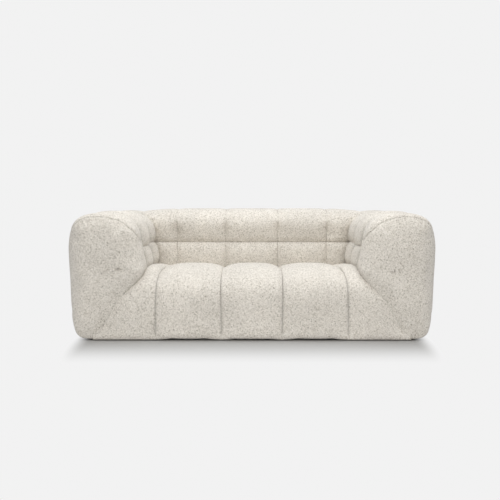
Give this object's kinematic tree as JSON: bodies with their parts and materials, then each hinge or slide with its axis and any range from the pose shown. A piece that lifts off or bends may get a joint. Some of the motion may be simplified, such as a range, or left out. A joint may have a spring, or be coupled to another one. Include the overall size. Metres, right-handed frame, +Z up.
{
  "type": "tuxedo sofa",
  "caption": "Channel-quilted tuxedo sofa: thick rolled arms level with the back, fixed seat that rolls over the front edge to the floor, boucle cover.",
  "frame": {"origin": "on the floor under the middle of the sofa, between its left and right faces and its front and rear faces", "axes": "+X to the viewer's right when facing the seat, +Y from the front towards the back, +Z up"},
  "size_m": [2.0428, 1.0014, 0.7052],
  "materials": {
    "boucle": "nubbly beige melange boucle",
    "timber": "sawn softwood",
    "plywood": "raw plywood",
    "hardboard": "pressed hardboard",
    "foam": "open-cell foam",
    "felt": "needled felt",
    "webbing": "elastic webbing",
    "dust_cloth": "spun-bonded black cloth",
    "spring_steel": "drawn wire",
    "zinc_steel": "zinc plated",
    "glide_plastic": "moulded black"
  },
  "bodies": {
    "root": {"arm_left_battens": "timber", "arm_left_board": "hardboard", "arm_left_foam": "foam", "arm_left_front_panel": "boucle", "arm_left_outside": "boucle", "arm_left_outside_rear": "boucle", "arm_left_rear_corner": "boucle", "arm_left_ribs": "plywood", "arm_left_second_channel_inside": "boucle", "arm_left_second_channel_top": "boucle", "arm_left_third_channel_inside": "boucle", "arm_left_third_channel_top": "boucle", "arm_left_top_gusset": "boucle", "arm_right_battens": "timber", "arm_right_board": "hardboard", "arm_right_foam": "foam", "arm_right_front_panel": "boucle", "arm_right_outside": "boucle", "arm_right_outside_rear": "boucle", "arm_right_rear_corner": "boucle", "arm_right_ribs": "plywood", "arm_right_second_channel_inside": "boucle", "arm_right_second_channel_top": "boucle", "arm_right_third_channel_inside": "boucle", "arm_right_third_channel_top": "boucle", "arm_right_top_gusset": "boucle", "back_foam": "foam", "back_lower_left_end": "boucle", "back_lower_left_wide": "boucle", "back_lower_middle": "boucle", "back_lower_right_end": "boucle", "back_lower_right_wide": "boucle", "back_rails": "timber", "back_ribs": "plywood", "back_roll_left_end": "boucle", "back_roll_left_wide": "boucle", "back_roll_middle": "boucle", "back_roll_right_end": "boucle", "back_roll_right_wide": "boucle", "back_webbing": "webbing", "base_corner_blocks": "timber", "base_front_rail": "timber", "base_rear_rail": "timber", "base_side_rails": "timber", "base_spring_rail": "timber", "base_stretchers": "timber", "dust_cover": "dust_cloth", "frame_bolts": "zinc_steel", "glide_screws": "zinc_steel", "glides": "glide_plastic", "outside_back": "boucle", "seat_channel_left_end": "boucle", "seat_channel_left_wide": "boucle", "seat_channel_middle": "boucle", "seat_channel_right_end": "boucle", "seat_channel_right_wide": "boucle", "seat_felt": "felt", "seat_foam": "foam", "seat_springs": "spring_steel", "spring_clips_and_ties": "spring_steel"}
  },
  "joints": []
}
